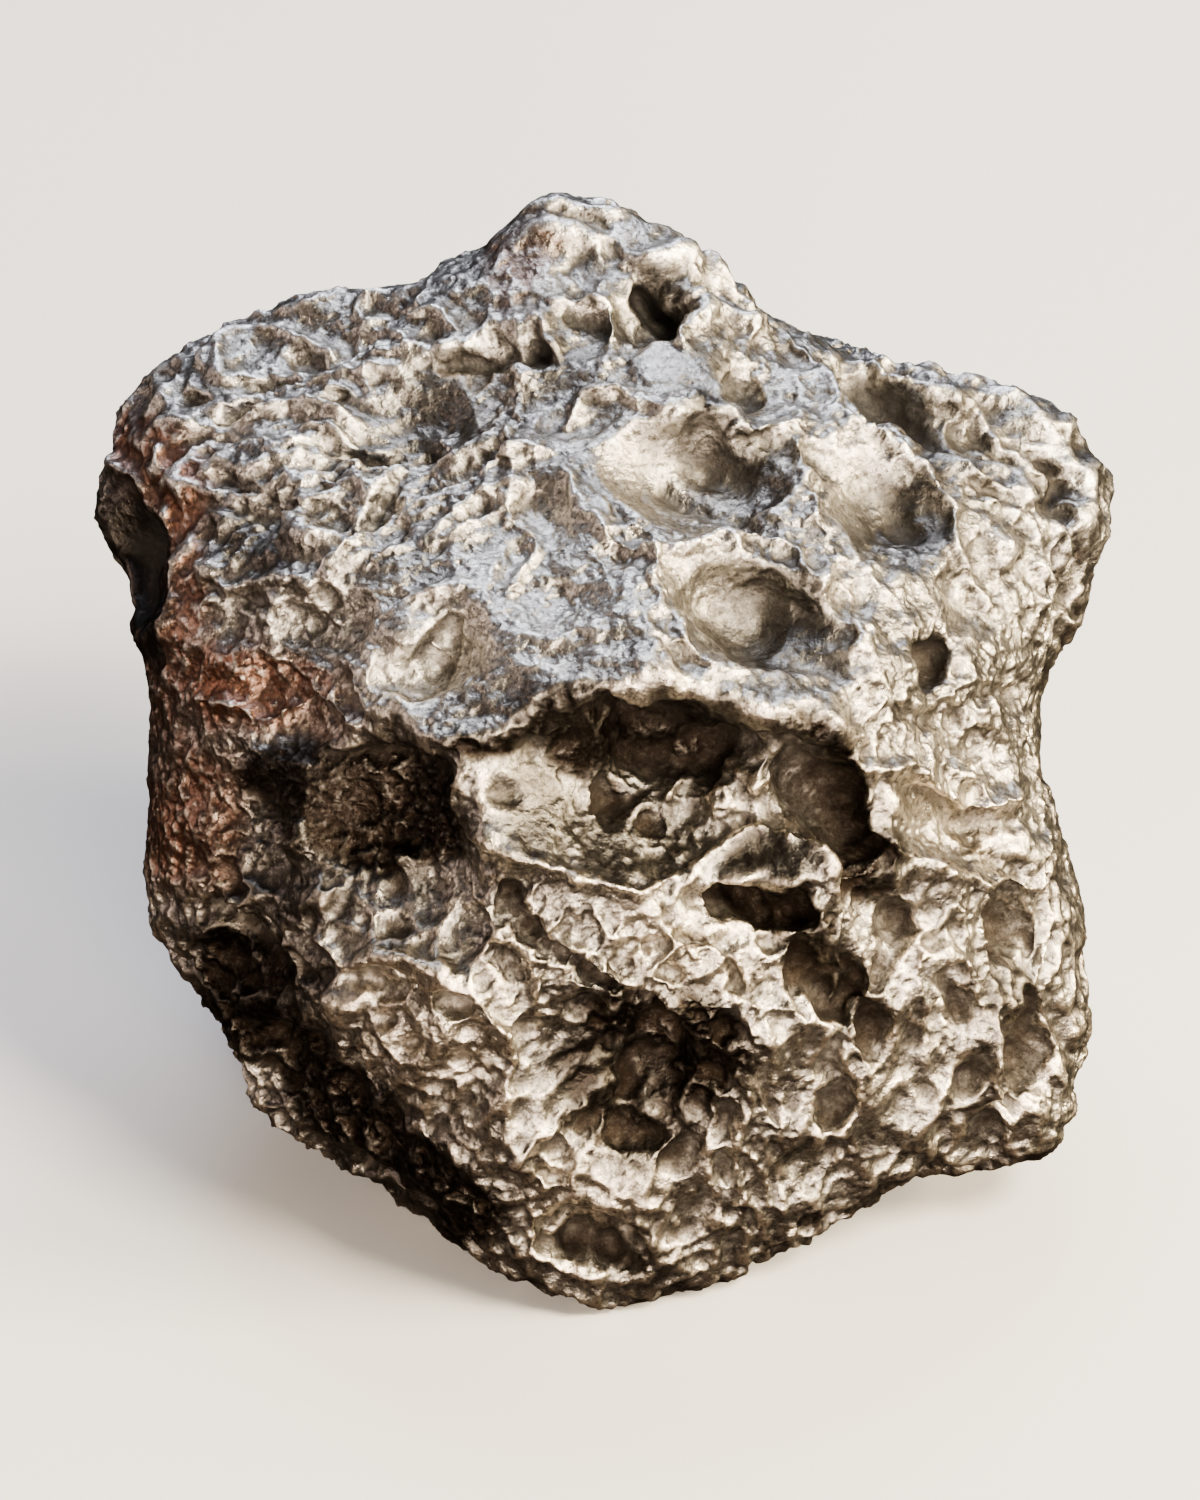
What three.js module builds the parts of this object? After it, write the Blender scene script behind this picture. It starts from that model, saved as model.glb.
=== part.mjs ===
// An iron meteorite: one solid lump, about 51 mm across, covered in the thumbprint hollows that air
// melts into iron as it falls. Millimetres, +Z up, origin at the middle of the underside.
//
// The lump is shaped face-on, in a frame where X is to the right, Y is up the broad face and Z comes
// straight out of it. It is then leaned back by LEAN to the way it lies on a table.
// Its surface is one distance from the centre in each direction, so it is one closed skin.
import * as THREE from "three";
import { mergeVertices } from "three/addons/utils/BufferGeometryUtils.js";
import { ImprovedNoise } from "three/addons/math/ImprovedNoise.js";

// ---- Driving dimensions, in millimetres and degrees ----
const LEAN = 55; // how far the broad face leans back from upright
const TABLE = -19.6; // height of the table under the centre, once leaned
const SPLITS = 21; // how finely each of the 20 starting triangles is divided
const ROUNDING = 0.05; // softness of the hull at a landmark, as a share of the lump's radius
const BOWL = 2.4; // the roundness of a hollow: 2 is a plain dish, more is a flatter floor
const LIP = 0.25; // softness of a hollow's lip
const WANDER = 1.1; // how far a lip strays from a true ellipse
const WANDER_PITCH = 7; // the size of one such stray
const SWELL = 0.45; // low swells over the whole skin
const SWELL_PITCH = 5;
const SETTLING = 12; // rounds of sliding the skin's corners to share out the steep walls

// ---- Landmarks that the hull passes through: [x, y, z] ----
// The outline as the broad face shows it, clockwise from the summit.
const OUTLINE = [
  [-3.1, 28, 1], [0.6, 27.3, 0], [4.5, 25, 1], [7.6, 21.4, 2], [11, 21, -3],
  [16.3, 19.6, -4], [20.9, 18.4, -4], [24.7, 15.4, -3], [25.6, 12.3, -2], [24.5, 8, -1],
  [22.9, 5, -1], [21.3, 1, 0], [22.4, -2, 1], [23.8, -7, 1], [24.5, -15, 1],
  [21.6, -20.2, 2], [15, -21.5, 3], [10.5, -24, 4], [5, -26.7, 4], [-0.9, -27.8, 5],
  [-5.5, -26.2, 5], [-8.6, -23.5, 4], [-13.6, -20.7, 3], [-18, -17.6, 2], [-20, -13, 1],
  [-22.8, -9.4, 0], [-23.4, -6, -1], [-22.9, -1.5, -1], [-22.7, 4.2, -1], [-24.3, 8, -3],
  [-25.6, 12.5, -5], [-24.3, 16.8, -5], [-20.8, 20.5, -5], [-15.8, 22.4, -4], [-9.4, 24, -3],
  [-5.6, 25.4, -1],
];
// The broad face inside that outline.
const FACE = [
  [-6, 1.5, 20], [1.5, 5, 21], [11, 2.5, 19], [3, -2, 20], // the brow, where the top meets the front
  [7, -10, 17.5], [6, -19, 12.5], [-0.5, -23, 11], // down the front to the toe
  [17, -3, 13.5], [18, -13, 10.5], [20, 5, 8], // the right cheek
  [-11, -12, 15], [-15, 0, 13.5], [-17, -7, 10.5], [-14, -17, 6], // the left cheek and jaw
  [-3, 20, 8], [-3, 14, 12.5], [-3, 9, 16], [0, 24, 5], // the spine, from the summit to the brow
  [-17, 9, 11], [-9, 15.5, 8.5], [-16, 17, 4.5], [-10, 8, 15], // the left of the top, with its saddle
  [8, 10, 15.5], [12, 15, 9.5], [17, 10, 10.5], [15, 18, 2.5], [21, 13, 4], // the right of the top
];
// The sides that the broad face hides, given as the lump lies: [x, back, up] from the centre.
const HIDDEN = [
  [0, 17, 17], [-14, 17, 10], [15, 17, 8], // the top of the back
  [0, 23, 2], [-14, 18, -2], [14, 18, -3], // the middle of the back
  [0, 19, -15], [-12, 15, -15], [13, 14, -15], // the foot of the back
  [0, -3, -20.8], [-12, -4, -18.8], [12, -5, -19], [0, -15, -19.6], [0, 9, -19.4], // the underside
  [-20, 5, -8], [21, 5, -8], [-21, 12, 5], [20, 13, 3], // the ends
];

// ---- Hollows in the broad face: [x, y, half width, half height, turn, depth] ----
const HOLLOWS = {
  // the cave under the brow, and what opens off it
  cave: [3.2, -2, 9.8, 4.9, -13, 4.2],
  cave_vault: [4, -0.2, 5.6, 3, -10, 5.8],
  cave_channel: [11.4, -2.6, 1.8, 4.6, 36, 4],
  arch: [6.8, -8, 3.8, 1.4, -10, 2.2],
  left_recess: [-10.8, -4.2, 6.2, 4.7, -35, 3.2],
  // the bowls of the top, right of the spine
  brow_bowl: [7.6, 6.9, 5.4, 3.4, -14, 3],
  upper_bowl: [4.2, 13.8, 5.2, 3.6, -10, 2.5],
  right_bowl: [13.8, 12.5, 3.9, 3.2, -30, 2.1],
  neck_bowl: [7.2, 18.6, 2.2, 1.9, -30, 1.5],
  summit_hole: [2.4, 22.4, 2, 1.8, 0, 2],
  summit_face: [-0.6, 25, 2, 1.4, -20, 0.6],
  shoulder_trough: [14.2, 17, 4, 1.8, -32, 1.4],
  shoulder_pan: [19.8, 15.2, 3.2, 1.8, -30, 1.1],
  shoulder_hole: [22.6, 13, 1.8, 1.3, -40, 1.5],
  right_pan: [18.6, 8.6, 2.8, 2.6, -30, 1.2],
  right_end: [22.9, 8.6, 1.6, 2.6, 10, 0.8],
  brow_dimple: [12.2, 7.6, 1.6, 1.5, 0, 0.8],
  // the top, left of the spine
  crest_bowl: [-8.7, 4.9, 2.9, 2.9, 0, 1.8],
  crest_pan: [-13.8, 6.6, 2.8, 2.1, 0, 1],
  saddle: [-9.6, 17, 5.4, 3.5, 35, 1.6],
  saddle_pan: [-12.6, 11.8, 3.2, 2.2, 12, 1],
  saddle_head: [-12.4, 21, 3.6, 1.8, 15, 0.8],
  left_trough: [-19.2, 16.2, 3.6, 2.6, 20, 1.2],
  left_pan: [-17.8, 11.6, 3.4, 2.6, -20, 1.5],
  left_end: [-23.6, 10.6, 2.6, 3.9, 20, 1.9],
  left_notch: [-18.6, 6.6, 2.2, 1.8, 0, 0.8],
  left_flat: [-16.4, 2.6, 3.3, 2.2, -10, 1.1],
  spine_flute: [-3.6, 12.4, 1.4, 3.2, 24, 0.9],
  spine_pan: [-1.6, 17.6, 3, 2.3, -35, 0.9],
  spine_foot: [-2.6, 7.4, 2.6, 2.2, -30, 0.8],
  summit_left: [-6, 21, 1.9, 2.6, 30, 0.9],
  // the right cheek
  cheek_bowl: [17.6, -3.6, 5, 2.5, -22, 2.2],
  cheek_slot: [18, 1.2, 3.6, 1.4, -14, 1.2],
  cheek_dimple: [16.3, 4.4, 1.6, 1.7, 0, 1.2],
  cheek_groove: [11, -11.2, 3, 1.2, -42, 1.6],
  cheek_side: [14.8, -8.6, 2.4, 3, -20, 1.2],
  cheek_face: [20.4, -9, 2.8, 3.2, 0, 1.2],
  cheek_pan: [21.8, -15, 2.4, 2.8, 0, 1.4],
  cheek_foot: [16, -15.2, 3.2, 2.8, 0, 1.2],
  cheek_hem: [18.4, -19, 2.8, 1.6, -15, 0.9],
  // the front, down to the toe
  toe_scoop: [0.4, -16.6, 6.4, 5, -36, 2.6],
  toe_right: [9.4, -16.6, 2.8, 2.4, -30, 1],
  toe_hem: [10.6, -21, 3.2, 1.9, -24, 1],
  toe_edge: [4.6, -23.4, 2.8, 1.9, -20, 0.9],
  toe_cup: [-1.4, -24.4, 2.5, 2.1, -30, 1.8],
  // the left cheek and the jaw
  left_wall: [-17.8, -4.4, 3, 4, 10, 1.4],
  jaw_arch: [-18.2, -10.6, 3.1, 1.9, -30, 2],
  jaw_hole: [-11.4, -18.9, 1.5, 1.2, 0, 1.3],
  jaw_under: [-16.4, -15.4, 3, 2.2, -45, 1.2],
};
// Hollows on the hidden sides are scattered evenly, because no landmark tells them apart.
const SCATTER = { count: 110, half_width: [2.6, 5], depth: [0.8, 1.8], keep_behind: -1.5 };

// ---- Small helpers ----
const noise = new ImprovedNoise();
const rad = THREE.MathUtils.degToRad;
const vec = (x, y, z) => new THREE.Vector3(x, y, z);
const X_AXIS = vec(1, 0, 0);

// A gentle three-way stir of a point, the same every time.
function stir(point, pitch, size) {
  const p = point.clone().divideScalar(pitch);
  return vec(
    noise.noise(p.x + 11.3, p.y, p.z),
    noise.noise(p.x, p.y + 27.9, p.z),
    noise.noise(p.x, p.y, p.z + 43.1),
  ).multiplyScalar(size);
}

// Solves a small set of linear equations by elimination, with the right-hand side as a last column.
function solve(rows) {
  const n = rows.length;
  for (let c = 0; c < n; c++) {
    let best = c;
    for (let r = c + 1; r < n; r++) if (Math.abs(rows[r][c]) > Math.abs(rows[best][c])) best = r;
    [rows[c], rows[best]] = [rows[best], rows[c]];
    for (let r = c + 1; r < n; r++) {
      const share = rows[r][c] / rows[c][c];
      for (let k = c; k <= n; k++) rows[r][k] -= share * rows[c][k];
    }
  }
  const found = new Array(n).fill(0);
  for (let r = n - 1; r >= 0; r--) {
    let sum = rows[r][n];
    for (let k = r + 1; k < n; k++) sum -= rows[r][k] * found[k];
    found[r] = sum / rows[r][r];
  }
  return found;
}

// ---- The hull: the distance from the centre in any direction, through every landmark ----
function makeHull(landmarks) {
  const ways = landmarks.map((p) => p.clone().normalize());
  const reach = (a, b) => Math.hypot(a.distanceTo(b), ROUNDING);
  const rows = ways.map((a, i) => [...ways.map((b) => reach(a, b)), 1, landmarks[i].length()]);
  rows.push([...ways.map(() => 1), 0, 0]);
  const weights = solve(rows);
  const level = weights.pop();
  return (way) => ways.reduce((sum, b, i) => sum + weights[i] * reach(way, b), level);
}

// The point of the hull that lies straight in front of (x, y) on the broad face.
function onFace(hull, x, y) {
  const gap = (z) => {
    const p = vec(x, y, z);
    return p.length() - hull(p.normalize());
  };
  const step = 0.5;
  let z = 30;
  while (z > -12 && gap(z) > 0) z -= step;
  return vec(x, y, z + step * (gap(z) / (gap(z) - gap(z + step))));
}

// The hull's outward normal at a point on it.
function normalAt(hull, p) {
  const h = 0.8;
  const outside = (q) => q.length() - hull(q.clone().normalize());
  const slope = ["x", "y", "z"].map((k) => {
    const a = p.clone();
    const b = p.clone();
    a[k] += h;
    b[k] -= h;
    return outside(a) - outside(b);
  });
  return vec(...slope).normalize();
}

// ---- A hollow: how deep it is under any point of the hull, and less than nothing outside its lip ----
function makeHollow(hull, at, halfWidth, halfHeight, turn, depth) {
  const out = normalAt(hull, at);
  const across = X_AXIS.clone().addScaledVector(out, -out.x).normalize();
  across.applyAxisAngle(out, rad(turn));
  const up = out.clone().cross(across);
  return (point) => {
    const d = point.clone().sub(at);
    const rise = d.dot(out) / (2 * halfWidth);
    const offset = Math.hypot(d.dot(across) / halfWidth, d.dot(up) / halfHeight, rise);
    return depth * (1 - offset ** BOWL);
  };
}

// Evenly spread directions over a ball, as a spiral.
function spiral(i, count) {
  const y = 1 - (2 * (i + 0.5)) / count;
  const ring = Math.sqrt(1 - y * y);
  const angle = i * Math.PI * (3 - Math.sqrt(5));
  return vec(ring * Math.cos(angle), y, ring * Math.sin(angle));
}

function scatteredHollows(hull) {
  const { count, half_width: width, depth, keep_behind: limit } = SCATTER;
  const made = [];
  for (let i = 0; i < count; i++) {
    const way = spiral(i, count);
    const at = way.clone().multiplyScalar(hull(way));
    if (at.z > limit) continue;
    const pick = (k) => (Math.sin(i * 12.9898 + k * 78.233) + 1) / 2;
    const halfWidth = THREE.MathUtils.lerp(...width, pick(1));
    const halfHeight = halfWidth * THREE.MathUtils.lerp(0.65, 1, pick(2));
    const deep = THREE.MathUtils.lerp(...depth, pick(3));
    made.push(makeHollow(hull, at, halfWidth, halfHeight, 180 * pick(4), deep));
  }
  return made;
}

// ---- The finished skin ----
function makeSkin() {
  const lying = HIDDEN.map(([x, back, up]) => vec(x, back, up).applyAxisAngle(X_AXIS, -rad(LEAN)));
  const hull = makeHull([...[...OUTLINE, ...FACE].map((p) => vec(...p)), ...lying]);
  const pressed = Object.values(HOLLOWS).map(([x, y, ...shape]) =>
    makeHollow(hull, onFace(hull, x, y), ...shape),
  );
  const hollows = [...pressed, ...scatteredHollows(hull)];
  return (way) => {
    const plain = way.clone().multiplyScalar(hull(way));
    const strayed = plain.clone().add(stir(plain, WANDER_PITCH, WANDER));
    const deepest = Math.max(...hollows.map((hollow) => hollow(strayed)));
    const swell = SWELL * noise.noise(...plain.divideScalar(SWELL_PITCH).toArray());
    return hull(way) + swell - (deepest + Math.hypot(deepest, LIP)) / 2;
  };
}

// For each corner, the corners it shares an edge with.
function neighboursOf(geometry) {
  const index = geometry.index.array;
  const sets = Array.from({ length: geometry.getAttribute("position").count }, () => new Set());
  for (let i = 0; i < index.length; i += 3) {
    for (let k = 0; k < 3; k++) {
      sets[index[i + k]].add(index[i + ((k + 1) % 3)]);
      sets[index[i + ((k + 1) % 3)]].add(index[i + k]);
    }
  }
  return sets.map((set) => [...set]);
}

// Puts every corner on the skin, then slides it along the skin towards the middle of its neighbours.
function settle(geometry, skin) {
  const places = geometry.getAttribute("position");
  const neighbours = neighboursOf(geometry);
  let corners = neighbours.map((_, i) => vec(0, 0, 0).fromBufferAttribute(places, i));
  const onSkin = (p) => p.normalize().multiplyScalar(skin(p));
  corners.forEach(onSkin);
  for (let round = 0; round < SETTLING; round++) {
    corners = neighbours.map((near, i) => {
      const middle = vec(0, 0, 0);
      for (const k of near) middle.addScaledVector(corners[k], 1 / near.length);
      return onSkin(middle.lerp(corners[i], 0.5));
    });
  }
  return corners;
}

function meteoriteGeometry() {
  let geometry = new THREE.IcosahedronGeometry(1, SPLITS);
  geometry.deleteAttribute("normal");
  geometry.deleteAttribute("uv");
  geometry = mergeVertices(geometry, 1e-5);
  const places = geometry.getAttribute("position");
  settle(geometry, makeSkin()).forEach((corner, i) => {
    const p = corner.applyAxisAngle(X_AXIS, rad(LEAN));
    p.z = Math.max(p.z, TABLE); // the underside is worn flat where it bears on the table
    places.setXYZ(i, p.x, p.y, p.z);
  });
  geometry.computeBoundingBox();
  const { min, max } = geometry.boundingBox;
  geometry.translate(-(min.x + max.x) / 2, -(min.y + max.y) / 2, -min.z);
  geometry.computeVertexNormals();
  return geometry;
}

const bareIron = new THREE.MeshStandardMaterial({ color: 0x8f8a82, roughness: 0.42, metalness: 0.9 });

const meteorite = new THREE.Mesh(meteoriteGeometry(), bareIron);
meteorite.name = "meteorite";

const part = new THREE.Group();
part.add(meteorite);
export default part;
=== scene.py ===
import math

import bmesh
import bpy
import numpy as np
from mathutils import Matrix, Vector
from mathutils.bvhtree import BVHTree


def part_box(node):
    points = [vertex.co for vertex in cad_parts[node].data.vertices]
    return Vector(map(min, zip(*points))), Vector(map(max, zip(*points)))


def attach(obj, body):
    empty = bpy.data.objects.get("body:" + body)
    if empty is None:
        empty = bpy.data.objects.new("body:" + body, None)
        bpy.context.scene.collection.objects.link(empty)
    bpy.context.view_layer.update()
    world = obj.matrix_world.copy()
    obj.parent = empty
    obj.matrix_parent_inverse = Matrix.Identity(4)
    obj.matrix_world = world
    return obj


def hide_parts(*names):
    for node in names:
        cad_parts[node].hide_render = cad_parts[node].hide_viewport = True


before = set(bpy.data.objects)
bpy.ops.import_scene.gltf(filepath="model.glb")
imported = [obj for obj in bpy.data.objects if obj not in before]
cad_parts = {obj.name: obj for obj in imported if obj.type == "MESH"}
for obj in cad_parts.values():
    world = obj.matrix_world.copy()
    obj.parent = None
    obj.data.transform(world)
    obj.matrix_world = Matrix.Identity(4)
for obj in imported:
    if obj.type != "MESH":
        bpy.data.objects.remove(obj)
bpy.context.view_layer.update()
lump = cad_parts["meteorite"]
low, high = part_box("meteorite")

# ---- The broad face's own axes: right, up the face, and out of it towards the viewer ----
VIEW_UP = math.radians(35)  # how far above level the viewer stands
DESIGN_WIDTH = 51.07  # the lump's width in the millimetres that the tables below use
MM = (high.x - low.x) / DESIGN_WIDTH
AXES = np.array(
    [
        [1, 0, 0],
        [0, math.sin(VIEW_UP), math.cos(VIEW_UP)],
        [0, -math.cos(VIEW_UP), math.sin(VIEW_UP)],
    ]
)


def mesh_arrays(mesh):
    places = np.empty(len(mesh.vertices) * 3, np.float32)
    mesh.vertices.foreach_get("co", places)
    edges = np.empty(len(mesh.edges) * 2, np.int32)
    mesh.edges.foreach_get("vertices", edges)
    return places.reshape(-1, 3).astype(float), edges.reshape(-1, 2)


cad_places, _ = mesh_arrays(lump.data)
on_face = cad_places @ AXES.T
CENTRE = (on_face.min(0) + on_face.max(0)) / 2
CENTRE[2] = float(np.dot([0, 0, (low.z + high.z) / 2], AXES[2]))


def to_face(points):
    """Row frame, metres, to the broad face's axes in design millimetres."""
    return (points @ AXES.T - CENTRE) / MM


def from_face(points):
    return (points * MM + CENTRE) @ AXES


# ---- Noise, the same on every run ----
RANDOM = np.random.default_rng(7)


def scramble(i, j, k, seed):
    h = (
        i.astype(np.uint32) * np.uint32(374761393)
        + j.astype(np.uint32) * np.uint32(668265263)
        + k.astype(np.uint32) * np.uint32(2246822519)
        + np.uint32(seed * 3266489917 & 0xFFFFFFFF)
    )
    h = (h ^ (h >> np.uint32(15))) * np.uint32(2246822519)
    h = (h ^ (h >> np.uint32(13))) * np.uint32(3266489917)
    return h ^ (h >> np.uint32(16))


def unit(h, byte):
    """One of three random numbers from 0 to 1 held in each hash."""
    return ((h >> np.uint32(10 * byte)) & np.uint32(1023)).astype(np.float32) / 1023


def noise(points, pitch, seed=0):
    """Gradient noise, about -1 to 1."""
    p = (points / pitch).astype(np.float32)
    cell = np.floor(p).astype(np.int64)
    f = p - cell
    t = f * f * f * (f * (f * 6 - 15) + 10)
    total = np.zeros(len(p), np.float32)
    for corner in range(8):
        d = np.array([corner & 1, corner >> 1 & 1, corner >> 2 & 1])
        h = scramble(*(cell + d).T, seed)
        slope = sum((unit(h, a) * 2 - 1) * (f[:, a] - d[a]) for a in range(3))
        weight = np.prod(np.where(d == 1, t, 1 - t), axis=1)
        total += weight * slope
    return total * 1.7


def fractal(points, pitch, octaves, seed=0):
    return sum(noise(points, pitch / 2**o, seed + o) / 2**o for o in range(octaves))


def stirred(points, pitch, size, seed=0):
    """Points moved a little by noise, so that what is drawn over them is irregular."""
    return points + size * np.stack([noise(points, pitch, seed + 7 * a) for a in range(3)], 1)


def cells(points, pitch, seed=0):
    """Distances to the nearest and second nearest of some scattered seeds, in pitches, and the
    hash of the nearest."""
    p = (points / pitch).astype(np.float32)
    cell = np.floor(p).astype(np.int64)
    f = p - cell
    first = np.full(len(p), 9, np.float32)
    second = np.full(len(p), 9, np.float32)
    owner = np.zeros(len(p), np.uint32)
    for dx in (-1, 0, 1):
        for dy in (-1, 0, 1):
            for dz in (-1, 0, 1):
                d = np.array([dx, dy, dz])
                h = scramble(*(cell + d).T, seed)
                gap = sum((d[a] + unit(h, a) - f[:, a]) ** 2 for a in range(3))
                nearer = gap < first
                second = np.where(nearer, first, np.minimum(second, gap))
                owner = np.where(nearer, h, owner)
                first = np.where(nearer, gap, first)
    return np.sqrt(first), np.sqrt(second), owner


def ramp(values, start, end):
    t = np.clip((values - start) / (end - start), 0, 1)
    return t * t * (3 - 2 * t)


# ---- The lump's mesh, welded, then split finely ----
def welded_copy():
    work = bmesh.new()
    work.from_mesh(lump.data)
    bmesh.ops.remove_doubles(work, verts=work.verts, dist=1e-6)
    for layer in list(work.loops.layers.uv.values()):
        work.loops.layers.uv.remove(layer)
    mesh = bpy.data.meshes.new("meteorite_skin")
    work.to_mesh(mesh)
    work.free()
    piece = bpy.data.objects.new("meteorite_skin", mesh)
    bpy.context.scene.collection.objects.link(piece)
    return piece


def split_finely(piece, levels):
    split = piece.modifiers.new("split", "SUBSURF")
    split.levels = split.render_levels = levels
    bpy.context.view_layer.update()
    shown = piece.evaluated_get(bpy.context.evaluated_depsgraph_get())
    coarse, piece.data = piece.data, bpy.data.meshes.new_from_object(shown)
    piece.modifiers.clear()
    bpy.data.meshes.remove(coarse)


def keep(mesh, name, values):
    attribute = mesh.attributes.new(name, "FLOAT", "POINT")
    attribute.data.foreach_set("value", np.asarray(values, np.float32))


def kept(mesh, name):
    values = np.empty(len(mesh.vertices), np.float32)
    mesh.attributes[name].data.foreach_get("value", values)
    return values


class Skin:
    """The fine mesh's corners in face axes and design millimetres, with what moves them."""

    def __init__(self, mesh):
        self.mesh = mesh
        places, self.edges = mesh_arrays(mesh)
        self.at = to_face(places)
        ends = np.concatenate([self.edges, self.edges[:, ::-1]])
        order = np.argsort(ends[:, 0], kind="stable")
        self.near = ends[order, 1]
        self.starts = np.searchsorted(ends[order, 0], np.arange(len(places)))
        self.count = np.diff(np.append(self.starts, len(self.near)))[:, None]
        self.refresh()

    def smooth(self, values, rounds):
        values = np.asarray(values, np.float32)
        flat = values.ndim == 1
        values = values[:, None] if flat else values
        for _ in range(rounds):
            mean = np.add.reduceat(values[self.near], self.starts, axis=0) / self.count
            values = values + 0.6 * (mean - values)
        return values[:, 0] if flat else values

    def refresh(self):
        self.mesh.vertices.foreach_set("co", from_face(self.at).astype(np.float32).ravel())
        self.mesh.update()
        out = np.empty(len(self.at) * 3, np.float32)
        self.mesh.vertex_normals.foreach_get("vector", out)
        self.out = out.reshape(-1, 3) @ AXES.T

    def move(self, height, rounds=6):
        """Raises the skin along its smoothed outward direction, by design millimetres."""
        way = self.smooth(self.out, rounds)
        way /= np.linalg.norm(way, axis=1)[:, None]
        self.at += way * height[:, None]
        self.refresh()

    def spread(self, rounds):
        """Slides the corners along the skin to even out their spacing on steep walls."""
        for _ in range(rounds):
            slide = self.smooth(self.at, 1) - self.at
            slide -= np.einsum("ij,ij->i", slide, self.out)[:, None] * self.out
            self.at += slide
            self.refresh()

    def relief(self, rounds):
        """How far each corner stands above its surroundings."""
        return np.einsum("ij,ij->i", self.at - self.smooth(self.at, rounds), self.out)

    def closeness(self, piece, rays, reach, rounds):
        """The share of the space in front of each corner that the lump itself closes off, from 0 to 1."""
        tree = BVHTree.FromObject(piece, bpy.context.evaluated_depsgraph_get())
        out = (self.smooth(self.out, 2) @ AXES).astype(float)
        out /= np.linalg.norm(out, axis=1)[:, None]
        starts = from_face(self.at) + out * (0.08 * MM)
        hits = np.zeros(len(starts))
        turns = RANDOM.permutation(len(starts))
        for ray in range(rays):
            rise = 2 * ((ray + 0.5 + turns % 7 / 7 - 0.5) / rays % 1) - 1
            turn = 2.4 * (ray * 97 + turns)
            ring = np.sqrt(1 - rise**2)
            ways = out + 0.999 * np.stack([ring * np.cos(turn), ring * np.sin(turn), rise], 1)
            for corner, (start, way) in enumerate(zip(starts, ways)):
                if tree.ray_cast(start, way, reach * MM)[0] is not None:
                    hits[corner] += 1
        return self.smooth(hits / rays, rounds)


# ---- What the broad face shows, seen straight on: design millimetres right and up from its middle ----
# Smooth places: (right, up, half width, half height, turn)
SMOOTH = [
    (7.4, 6.8, 4.6, 2.8, -14),  # the brow bowl
    (3.2, 14.2, 4.8, 3.4, -8),  # the upper bowl
    (12.8, 12.8, 1.9, 2.8, -20),  # the pillar in the right bowl
    (15.2, 11.2, 1.6, 1.4, 0),
    (4.2, 19.0, 3.2, 1.4, -22),  # the ledge under the summit
    (-9.0, 16.6, 3.4, 2.8, 35),  # the saddle
    (-3.8, -3.0, 2.6, 3.4, 14),  # the facet in the cave
    (16.0, -2.6, 2.4, 1.3, -24),  # the cheek bowl's floor
    (20.6, -4.6, 1.5, 1.1, -30),
    (5.6, -8.2, 2.4, 0.8, -10),  # the floor of the arch
    (7.6, -5.6, 3.6, 1.9, -8),  # its roof
    (-2.6, -16.6, 1.6, 5.4, -48),  # the flow into the toe scoop
    (-9.6, 5.6, 1.2, 1.9, 0),  # the crest bowl
    (-12.6, -12.0, 1.5, 1.5, 0),  # the pitted lump's lobe and ridge
    (-9.0, -10.7, 3.4, 0.8, -18),
    (-1.6, 11.6, 2.2, 3.0, 25),  # the spine's flutes
    (14.8, 17.2, 6.0, 1.2, -36),  # the shoulder's trough
    (-23.4, 9.6, 1.8, 4.0, 8),  # the left end
]
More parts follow.
